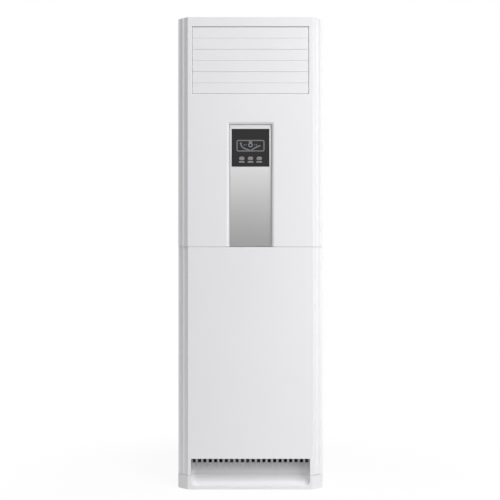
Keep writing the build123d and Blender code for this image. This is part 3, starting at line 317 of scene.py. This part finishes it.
def makeFinish(name, look):
    # broad faint colour drift, fine grain in the roughness and in a shallow bump
    material = bpy.data.materials.new(name)
    material.use_nodes = True
    tree = material.node_tree
    shader = tree.nodes["Principled BSDF"]
    place = tree.nodes.new("ShaderNodeTexCoord")
    if "flakes" in look:
        drift = tree.nodes.new("ShaderNodeTexVoronoi")
        drift.inputs["Scale"].default_value = look["flakes"]
        driftValue = drift.outputs["Color"]
    else:
        drift = tree.nodes.new("ShaderNodeTexNoise")
        drift.inputs["Scale"].default_value = finishPattern["driftScale"]
        drift.inputs["Detail"].default_value = finishPattern["driftDetail"]
        driftValue = drift.outputs["Fac"]
    tones = tree.nodes.new("ShaderNodeValToRGB")
    base = np.array(look["colour"])
    for stop, position, tone in zip(tones.color_ramp.elements, finishPattern["driftStops"], (-1, 1)):
        stop.position = position
        stop.color = (*(base * (1 + tone * look["spread"])), 1)
    grain = tree.nodes.new("ShaderNodeTexNoise")
    grain.inputs["Scale"].default_value = look["grain"]
    grain.inputs["Detail"].default_value = finishPattern["grainDetail"]
    polish = tree.nodes.new("ShaderNodeMapRange")
    polish.inputs["To Min"].default_value = look["rough"] - look["roughSpread"]
    polish.inputs["To Max"].default_value = look["rough"] + look["roughSpread"]
    bump = tree.nodes.new("ShaderNodeBump")
    bump.inputs["Distance"].default_value = look["depth"]
    bump.inputs["Strength"].default_value = finishPattern["bump"]
    tree.links.new(place.outputs["Object"], drift.inputs["Vector"])
    tree.links.new(place.outputs["Object"], grain.inputs["Vector"])
    tree.links.new(driftValue, tones.inputs["Fac"])
    colour = tones.outputs["Color"]
    if "fade" in look:
        colour = fadedTone(tree, place, colour, look["fade"])
    tree.links.new(colour, shader.inputs["Base Color"])
    tree.links.new(grain.outputs["Fac"], polish.inputs["Value"])
    tree.links.new(polish.outputs["Result"], shader.inputs["Roughness"])
    height = threadHeight(tree, place, look["threads"]) if "threads" in look else grain.outputs["Fac"]
    tree.links.new(height, bump.inputs["Height"])
    tree.links.new(bump.outputs["Normal"], shader.inputs["Normal"])
    shader.inputs["Specular IOR Level"].default_value = look["specular"]
    shader.inputs["Metallic"].default_value = look.get("metal", 0.0)
    return material


materials = {name: makeFinish(name, look) for name, look in finishes.items()}

slotFinish = {
    "front_plastic": "frontPlastic", "louver_plastic": "louverPlastic", "painted_sheet": "paintedSheet",
    "silver_strip": "silverPaint", "window_black": "windowBlack", "button_grey": "buttonGrey",
    "grille_plastic": "grillePlastic", "inner_plastic": "innerPlastic", "vane_plastic": "vanePlastic",
    "filter_net": "filterNet", "galvanised": "galvanised", "fan_plastic": "fanPlastic",
    "coil_aluminium": "bareAluminium", "copper": "drawnCopper", "foam": "mouldedFoam",
    "board_green": "boardLacquer", "motor_grey": "motorPaint", "rubber_black": "blackRubber",
}
nodeSlot = {entry["node"]: entry["material_slot"] for entry in frame["record"]["subparts"]}
nodeBody = {node: body for body, group in frame["record"]["behaviour"]["bodies"].items() for node in group}


def dressNodes():
    # each node takes the finish of its material slot
    for name, node in nodes.items():
        node.data.materials.clear()
        node.data.materials.append(materials[slotFinish[nodeSlot[name]]])


dressNodes()
print("finishes made:", len(materials))

# Shells of the frame's nodes with softened edges: the width of the round, the wider one at an upright front
# corner, and boxes that are cut away, each from its low to its high corner.

buttonSides = ("left", "middle", "right")

softEdges = {
    "lower_front_panel": {"width": 0.0006, "corner": 0.003},
    "base_plinth": {"width": 0.0008, "corner": 0.003},
    "left_side_panel": {"width": 0.0005}, "right_side_panel": {"width": 0.0005},
    "top_cover": {"width": 0.0005}, "base_pan": {"width": 0.0004}, "back_panel": {"width": 0.0003},
    "control_strip": {"width": 0.0004}, "display_window": {"width": 0.0005},
    "outlet_frame": {"width": 0.0006}, "filter_frame": {"width": 0.0006},
    **{"louver_" + str(row): {"width": 0.0004} for row in range(1, 7)},
    **{"vane_" + str(column): {"width": 0.0004} for column in range(1, 9)},
    **{side + "_button": {"width": 0.0004} for side in buttonSides},
    # the gap over the top louver is wider than the others
    "upper_front_panel": {"width": 0.0006, "corner": 0.003, "cuts": [
        ((-0.2158, -0.1710, 1.7100), (0.2158, -0.1670, 1.7156)),
    ]},
    # the two outermost intake slots also run out through the cove's rounded corners
    "intake_grille": {"width": 0.0008, "cuts": [
        ((-0.2156, -0.1500, 0.0922), (-0.2056, -0.1100, 0.1335)),
        ((0.2056, -0.1500, 0.0922), (0.2156, -0.1100, 0.1335)),
    ]},
}

# angles in degrees: faces within flatAngle become one face, and edges beyond sharpAngle get a round
shellRules = {"weld": 0.00001, "flatAngle": 0.5, "sharpAngle": 28, "edgeSteps": 2, "cornerSteps": 4}

# an upright front corner stands within reach of halfFlat from the middle, just behind the flat front
frontCorner = {"halfFlat": 0.233, "reach": 0.0025, "behind": 0.0005, "tall": 0.02, "plumb": 0.0001}


def isFrontCorner(edge):
    # true for a tall plumb edge at either end of the flat front
    rule = frontCorner
    first, second = (vert.co for vert in edge.verts)
    upright = abs(first.z - second.z) > rule["tall"] and abs(first.x - second.x) < rule["plumb"]
    near = abs(abs(first.x) - rule["halfFlat"]) < rule["reach"]
    return upright and near and max(first.y, second.y) < cadBox[0][1] + rule["behind"]


def cutAway(mesh, cuts):
    # mesh less a few upright boxes, worked out once and kept as plain mesh
    holder = bpy.data.objects.new("cutHolder", mesh)
    bpy.context.scene.collection.objects.link(holder)
    tools = []
    for low, high in cuts:
        tool = bmesh.new()
        bmesh.ops.create_cube(tool, size=1.0)
        for vert in tool.verts:
            vert.co = Vector([(a + b) / 2 + c * (b - a) for a, b, c in zip(low, high, vert.co)])
        toolMesh = bpy.data.meshes.new("cutTool")
        tool.to_mesh(toolMesh)
        tool.free()
        tools.append(bpy.data.objects.new("cutTool", toolMesh))
        bpy.context.scene.collection.objects.link(tools[-1])
        cut = holder.modifiers.new("cut", "BOOLEAN")
        cut.solver = "EXACT"
        cut.object = tools[-1]
    whole = holder.evaluated_get(bpy.context.evaluated_depsgraph_get())
    result = bpy.data.meshes.new_from_object(whole)
    for tool in tools + [holder]:
        bpy.data.objects.remove(tool)
    return result


def softenedShell(name, look):
    # welded copy of a frame node, its flat faces joined and cut into triangles anew, so that none of them
    # has holes, with a small round along each sharp edge
    mesh = nodes[name].data.copy()
    shell = bmesh.new()
    shell.from_mesh(mesh)
    bmesh.ops.remove_doubles(shell, verts=shell.verts, dist=shellRules["weld"])
    flat = math.radians(shellRules["flatAngle"])
    bmesh.ops.dissolve_limit(shell, angle_limit=flat, verts=shell.verts, edges=shell.edges)
    bmesh.ops.triangulate(shell, faces=[face for face in shell.faces if len(face.verts) > 4])
    if "cuts" in look:
        shell.to_mesh(mesh)
        mesh = cutAway(mesh, look["cuts"])
        shell.clear()
        shell.from_mesh(mesh)
    mesh.name = name + ".soft"
    wide = look.get("corner", look["width"])
    weight = shell.edges.layers.float.new("bevel_weight_edge")
    for edge in shell.edges:
        if edge.is_manifold and edge.calc_face_angle() > math.radians(shellRules["sharpAngle"]):
            edge[weight] = 1.0 if isFrontCorner(edge) else look["width"] / wide
    shell.to_mesh(mesh)
    shell.free()
    piece = bpy.data.objects.new(name + ".soft", mesh)
    bpy.context.scene.collection.objects.link(piece)
    rounding = piece.modifiers.new("rounding", "BEVEL")
    rounding.width = wide
    rounding.segments = shellRules["edgeSteps" if wide == look["width"] else "cornerSteps"]
    rounding.limit_method = "WEIGHT"
    rounding.use_clamp_overlap = False
    facing = piece.modifiers.new("facing", "WEIGHTED_NORMAL")
    facing.mode = "FACE_AREA"
    mesh.polygons.foreach_set("use_smooth", np.ones(len(mesh.polygons), dtype=bool))
    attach(piece, nodeBody[name])
    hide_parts(name)


for shellName, shellLook in softEdges.items():
    softenedShell(shellName, shellLook)
print("shells softened:", len(softEdges))


# seams of a grid surface join within weld, and edges shorter than collapse close up
gridRules = {"weld": 0.000002, "collapse": 0.000001}


def closedPiece(name, grids, finish, body, sharp=35):
    # grids of points, rows by columns by 3, joined along their shared edges into closed surfaces
    corners, quads, start = [], [], 0
    for grid in grids:
        rows, columns = grid.shape[:2]
        index = start + np.arange(rows * columns).reshape(rows, columns)
        around = (index[:-1, :-1], index[1:, :-1], index[1:, 1:], index[:-1, 1:])
        quads.append(np.stack(around, axis=-1).reshape(-1, 4))
        corners.append(grid.reshape(-1, 3))
        start += rows * columns
    corners = np.concatenate(corners)
    quads = np.concatenate(quads)
    mesh = bpy.data.meshes.new(name)
    mesh.vertices.add(len(corners))
    mesh.vertices.foreach_set("co", corners.ravel())
    mesh.loops.add(quads.size)
    mesh.loops.foreach_set("vertex_index", quads.ravel())
    mesh.polygons.add(len(quads))
    mesh.polygons.foreach_set("loop_start", np.arange(0, quads.size, 4))
    mesh.update(calc_edges=True)
    mesh.validate()
    surface = bmesh.new()
    surface.from_mesh(mesh)
    bmesh.ops.remove_doubles(surface, verts=surface.verts, dist=gridRules["weld"])
    bmesh.ops.dissolve_degenerate(surface, edges=surface.edges, dist=gridRules["collapse"])
    bmesh.ops.recalc_face_normals(surface, faces=surface.faces)
    surface.to_mesh(mesh)
    surface.free()
    mesh.polygons.foreach_set("use_smooth", np.ones(len(mesh.polygons), dtype=bool))
    mesh.set_sharp_from_angle(angle=math.radians(sharp))
    mesh.materials.append(materials[finish])
    piece = bpy.data.objects.new(name, mesh)
    bpy.context.scene.collection.objects.link(piece)
    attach(piece, body)
    return piece


markBack = 0.00008      # how far a raised mark reaches into the face that it stands on


def strokeGrids(path, width, height, faceY, closed=False):
    # A raised line on the face y = faceY. Along t it follows the path in x and z, across it u runs from
    # -1 to 1, and the front stands height times (1 - u^4) proud. Open ends narrow in a half round.
    path = np.asarray(path, dtype=float)
    if closed:
        path = np.vstack([path, path[:1]])
        slope = np.roll(path[:-1], -1, axis=0) - np.roll(path[:-1], 1, axis=0)
        slope = np.vstack([slope, slope[:1]])
        half = np.full(len(path), width / 2)
    else:
        slope = np.gradient(path, axis=0)
        run = np.concatenate([[0], np.cumsum(np.hypot(*np.diff(path, axis=0).T))])
        toEnd = np.clip(np.minimum(run, run[-1] - run) / (width / 2), 0, 1)
        half = width / 2 * np.sqrt(1 - (1 - toEnd) ** 2)
    slope /= np.hypot(slope[:, :1], slope[:, 1:])
    across = np.stack([-slope[:, 1], slope[:, 0]], axis=1)
    u = np.linspace(-1, 1, 9)
    x = path[:, :1] + across[:, :1] * half[:, None] * u
    z = path[:, 1:] + across[:, 1:] * half[:, None] * u
    swell = (1 - u ** 4) * (half[:, None] / (width / 2))
    front = np.stack([x, faceY - height * swell, z], axis=-1)
    back = np.stack([x, faceY + markBack * swell, z], axis=-1)
    return [front, back]


def domeGrids(rim, height, faceY, power=2.0):
    # A dome over a rim in x and z: r runs from the middle to the rim, and it stands
    # height times (1 - r^power) proud.
    rim = np.vstack([rim, rim[:1]])
    middle = rim[:-1].mean(axis=0)
    r = np.sin(np.linspace(0, math.pi / 2, 9))[:, None]
    x = middle[0] + r * (rim[:, 0] - middle[0])
    z = middle[1] + r * (rim[:, 1] - middle[1])
    swell = np.broadcast_to(1 - r ** power, x.shape)
    front = np.stack([x, faceY - height * swell, z], axis=-1)
    back = np.stack([x, faceY + markBack * swell, z], axis=-1)
    return [front, back]


def curveThrough(points, count=30):
    # Bezier curve of any order through its control points, by De Casteljau's rule
    t = np.linspace(0, 1, count)[:, None]
    level = [np.array(point, dtype=float) * np.ones_like(t) for point in points]
    while len(level) > 1:
        level = [a * (1 - t) + b * t for a, b in zip(level[:-1], level[1:])]
    return level[0]


def roundedRectangle(halfWide, halfTall, radius, middle, steps=8):
    # corners as quarter rounds, joined by straight sides
    turn = np.linspace(0, math.pi / 2, steps)
    corners = []
    for quarter, (side, rise) in enumerate(((1, 1), (-1, 1), (-1, -1), (1, -1))):
        angle = turn + quarter * math.pi / 2
        corners.append(np.stack([
            middle[0] + side * (halfWide - radius) + radius * np.cos(angle),
            middle[1] + rise * (halfTall - radius) + radius * np.sin(angle)
        ], axis=1))
    return np.concatenate(corners)


def pillRim(wide, tall, middle, steps=14):
    # two half rounds joined by straight sides, just short of meeting, so that no two points coincide
    shortfall = 0.00001
    return roundedRectangle(wide / 2, tall / 2, tall / 2 - shortfall, middle, steps)


display = {
    "frameHalf": (0.0500, 0.0195), "frameRadius": 0.005, "frameMiddle": (0.0, 1.2743), "frameLine": 0.0042,
    "leftArc": [(-0.036, 1.2828), (-0.036, 1.2652), (-0.017, 1.2635), (-0.001, 1.2563)],
    "rightArc": [(0.038, 1.2750), (0.024, 1.2708), (0.014, 1.2652), (0.001, 1.2563)],
    "arcLine": 0.0052, "blob": (-0.036, 1.2828), "blobSize": (0.0075, 0.0080), "blobRadius": 0.003,
    "ring": 0.0066, "ringMiddle": (0.0, 1.2768), "ringLine": 0.0036,
    "stem": [(0.0, 1.2932), (0.0, 1.2822)], "stemLine": 0.0135,
    "ticks": [(-0.0235, 1.2775), (-0.0165, 1.2785), (0.0165, 1.2785), (0.0235, 1.2775)],
    "tickLine": 0.0022, "tickHalf": 0.003,
    "barRise": -0.0129, "barSize": (0.0215, 0.0050), "barRadius": 0.0018, "barPower": 6.0,
    "raise": 0.00018,
    # marks that cross stand at their own shares of raise, so that no two faces coincide
    "rightArcShare": 0.9, "stemShare": 0.8, "blobShare": 1.2, "ringShare": 1.1,
}


def addDisplayMarks(look):
    # generic marks on the window: a frame with two arcs, a ring with short strokes,
    # and a bar under each button
    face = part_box("display_window")[0][1]
    lift = look["raise"]
    frameRim = roundedRectangle(*look["frameHalf"], look["frameRadius"], look["frameMiddle"])
    grids = strokeGrids(frameRim, look["frameLine"], lift, face, closed=True)
    leftArc, rightArc = curveThrough(look["leftArc"]), curveThrough(look["rightArc"])
    grids += strokeGrids(leftArc, look["arcLine"], lift, face)
    grids += strokeGrids(rightArc, look["arcLine"], lift * look["rightArcShare"], face)
    stem = curveThrough(look["stem"], count=12)
    grids += strokeGrids(stem, look["stemLine"], lift * look["stemShare"], face)
    blobWide, blobTall = look["blobSize"]
    blobRim = roundedRectangle(blobWide / 2, blobTall / 2, look["blobRadius"], look["blob"])
    grids += domeGrids(blobRim, lift * look["blobShare"], face)
    closedPiece("displayFrame", grids, "printGrey", "cabinet")
    turn = np.linspace(0, 2 * math.pi, 33)[:-1]
    middle = np.array(look["ringMiddle"])
    ring = middle + look["ring"] * np.stack([np.cos(turn), np.sin(turn)], axis=1)
    grids = strokeGrids(ring, look["ringLine"], lift * look["ringShare"], face, closed=True)
    for x, z in look["ticks"]:
        tick = curveThrough([(x, z - look["tickHalf"]), (x, z + look["tickHalf"])], count=8)
        grids += strokeGrids(tick, look["tickLine"], lift, face)
    closedPiece("displayRing", grids, "printBlue", "cabinet")
    grids = []
    for side in buttonSides:
        low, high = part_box(side + "_button")
        middle = ((low[0] + high[0]) / 2, (low[2] + high[2]) / 2 + look["barRise"])
        rim = roundedRectangle(look["barSize"][0] / 2, look["barSize"][1] / 2, look["barRadius"], middle)
        grids += domeGrids(rim, lift, face, power=look["barPower"])
    closedPiece("displayBars", grids, "printPale", "cabinet")


buttonCap = {"size": (0.0194, 0.0129), "dome": 0.0006}


def addButtonCaps(look):
    # a low dome over each button's face, inside its pill-shaped rim
    for side in buttonSides:
        low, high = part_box(side + "_button")
        rim = pillRim(*look["size"], ((low[0] + high[0]) / 2, (low[2] + high[2]) / 2))
        grids = domeGrids(rim, look["dome"], low[1])
        closedPiece(side + "ButtonCap", grids, "buttonGrey", side + "_button")


addDisplayMarks(display)
addButtonCaps(buttonCap)
print("display marks and button caps made")

# ribs between the intake slots run on down the cove and fade out above its seam

coveRibs = {
    "count": 21, "pitch": 0.0201, "width": 0.0086, "proud": 0.0011,
    "top": 0.0915, "foot": 0.0560, "fadePower": 0.8, "riseRate": 14,
    "rim": 0.0001, "back": 0.0004,      # how deep the rim and the back lie in the wall
    "wallRadius": 0.1410, "wallMiddle": (-0.2660, 0.0920),    # the cove's round wall, as y and z
}


def addCoveRibs(look):
    # Each rib is a ridge on the cove's round wall y(z) = y0 + sqrt(R^2 - (z - z0)^2): across it u runs from
    # -1 to 1, down it v from 0 to 1, and it stands proud (1 - u^2) (1 - v)^fadePower in front of the wall,
    # from nothing at its very top.
    v = np.linspace(0, 1, 15)[:, None]
    u = np.linspace(-1, 1, 9)[None, :]
    z = look["top"] + (look["foot"] - look["top"]) * v + 0 * u
    middleY, middleZ = look["wallMiddle"]
    wall = middleY + np.sqrt(look["wallRadius"] ** 2 - (z - middleZ) ** 2)
    ridge = (1 - u ** 2) * (1 - v) ** look["fadePower"] * np.clip(v * look["riseRate"], 0, 1)
    rim = wall + look["rim"]
    grids = []
    for rib in range(look["count"]):
        x = look["pitch"] * (rib - (look["count"] - 1) / 2) + u * look["width"] / 2 + 0 * v
        grids.append(np.stack([x, rim - (look["proud"] + look["rim"]) * ridge, z], axis=-1))
        grids.append(np.stack([x, rim + look["back"] * ridge, z], axis=-1))
    # the ribs take the grille's finish, with its painted shade at the top of the cove
    closedPiece("coveRibs", grids, "grillePlastic", "lower_panel", sharp=60)


addCoveRibs(coveRibs)
print("cove ribs made")

# The plinth's rim stands up into the seam across the cove, so the seam shows as a fine line.

coveBead = {"halfWidth": 0.2206, "rearY": -0.1314, "frontY": -0.1668, "corner": 0.020,
            "low": 0.0499, "high": 0.0510, "thick": 0.0018}


def addCoveBead(look):
    # a small rectangle (thick by high - low) carried along the cove's edge in plan: back, round and across
    turn = np.linspace(0, math.pi / 2, 10)
    middleX, middleY = look["halfWidth"] - look["corner"], look["rearY"] - look["corner"]
    cornerX = middleX + look["corner"] * np.cos(turn)
    cornerY = middleY + look["corner"] * np.sin(turn)
    right = np.vstack([[look["halfWidth"], look["frontY"]], np.stack([cornerX, cornerY], axis=1)])
    path = np.vstack([right, right[::-1] * [-1, 1]])
    slope = np.gradient(path, axis=0)
    slope /= np.hypot(slope[:, :1], slope[:, 1:])
    outward = np.stack([slope[:, 1], -slope[:, 0]], axis=1)
    loop = [(0, look["low"]), (0, look["high"]), (1, look["high"]), (1, look["low"]), (0, look["low"])]
    tube = np.stack([
        np.column_stack([path + outward * look["thick"] * out, np.full(len(path), z)]) for out, z in loop
    ])
    ends = [np.stack([tube[:2, end], tube[[3, 2], end]]) for end in (0, -1)]
    closedPiece("coveBead", [tube] + ends, "frontPlastic", "cabinet")


addCoveBead(coveBead)

# painted shade: a grey raised line in the corners beside and over the silver strip, standing in for the
# shadowed gap round it

paintedGapShade = {"side": 0.0782, "low": 0.9020, "high": 1.3526, "face": -0.1560, "sideLine": 0.0046,
          "topLine": 0.0012, "raise": 0.0030}


def addGasket(look):
    # one raised line down each side and one across the top, grey as painted shade
    side, high = look["side"], look["high"]
    grids = []
    for x in (-side, side):
        path = [(x, z) for z in np.linspace(look["low"], high, 40)]
        grids += strokeGrids(path, look["sideLine"], look["raise"], look["face"])
    path = [(x, high) for x in np.linspace(-side, side, 30)]
    grids += strokeGrids(path, look["topLine"], look["raise"], look["face"])
    closedPiece("paintedStripGapShade", grids, "paintedGapShadeGrey", "cabinet")


addGasket(paintedGapShade)
print("cove bead and strip gasket made")

fullTurn = np.linspace(0, 2 * math.pi, 49)[None, :]      # once round, for turned shapes

screws = {
    "radius": 0.0040, "dome": 0.0010, "seat": 0.1676, "proud": 0.0024,
    "crossLong": 0.0024, "crossWide": 0.0007, "crossDeep": 0.0009, "crossWall": 0.0003,
    "fineTo": 0.72, "fineRings": 22, "outerRings": [0.82, 0.90, 0.96, 1.0],     # as shares of the radius
    "columns": 0.260, "rows": [0.100, 0.480, 0.860, 1.240, 1.620],
    "topRow": 1.742, "topHalf": 0.120,
}


def screwHead(look, x0, z0):
    # A pan head: r runs from the middle to the rim and the angle goes round. The top is a low dome, less a
    # cross-shaped recess whose depth falls off smoothly at its walls; a straight rim joins it to its seat.
    fine = np.linspace(0, look["fineTo"], look["fineRings"])
    r = np.concatenate([fine, look["outerRings"]])[:, None] * look["radius"]
    x, z = r * np.cos(fullTurn), r * np.sin(fullTurn)
    long, wide, wall = look["crossLong"], look["crossWide"], look["crossWall"]

    def arm(a, b):
        return np.clip((long - abs(a)) / wall, 0, 1) * np.clip((wide - abs(b)) / wall + 0.5, 0, 1)

    dip = look["crossDeep"] * np.maximum(arm(x, z), arm(z, x))
    dome = look["dome"] * (1 - (r / look["radius"]) ** 3)
    top = look["seat"] + look["proud"] - look["dome"] + dome - dip
    front = np.stack([x0 + x, np.broadcast_to(top, x.shape), z0 + z], axis=-1)
    seat = np.stack([x0 + x, np.full(x.shape, look["seat"]), z0 + z], axis=-1)
    rim = np.stack([front[-1], seat[-1]])
    return [front, rim, seat[[0, -1]]]


def addScrews(look):
    # two columns down the back's edges and two screws at the top
    places = [(side * look["columns"], z) for z in look["rows"] for side in (-1, 1)]
    places += [(side * look["topHalf"], look["topRow"]) for side in (-1, 1)]
    grids = []
    for x, z in places:
        grids += screwHead(look, x, z)
    heads = closedPiece("screwHeads", grids, "galvanised", "cabinet")
    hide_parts("cabinet_screws")


gland = {
    "x": 0.120, "z": 0.120,
    # radius and y of the outline, from the bore's inner end round the flange and back
    "profile": [
        (0.0040, 0.1586), (0.0088, 0.1586), (0.0088, 0.1676), (0.0120, 0.1676),
        (0.0120, 0.1686), (0.0114, 0.1694), (0.0100, 0.1696), (0.0062, 0.1696),
        (0.0048, 0.1690), (0.0040, 0.1676), (0.0040, 0.1586)
    ],
}


def addGland(look):
    # the outline turned about the gland's axis
    profile = np.array(look["profile"])[:, None, :]
    x = look["x"] + profile[..., 0] * np.cos(fullTurn)
    z = look["z"] + profile[..., 0] * np.sin(fullTurn)
    y = np.broadcast_to(profile[..., 1], x.shape)
    grid = np.stack([x, y, z], axis=-1)
    body = closedPiece("glandBody", [grid], "blackRubber", "cabinet")
    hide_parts("cable_gland")


addScrews(screws)
addGland(gland)
print("screws and gland made")
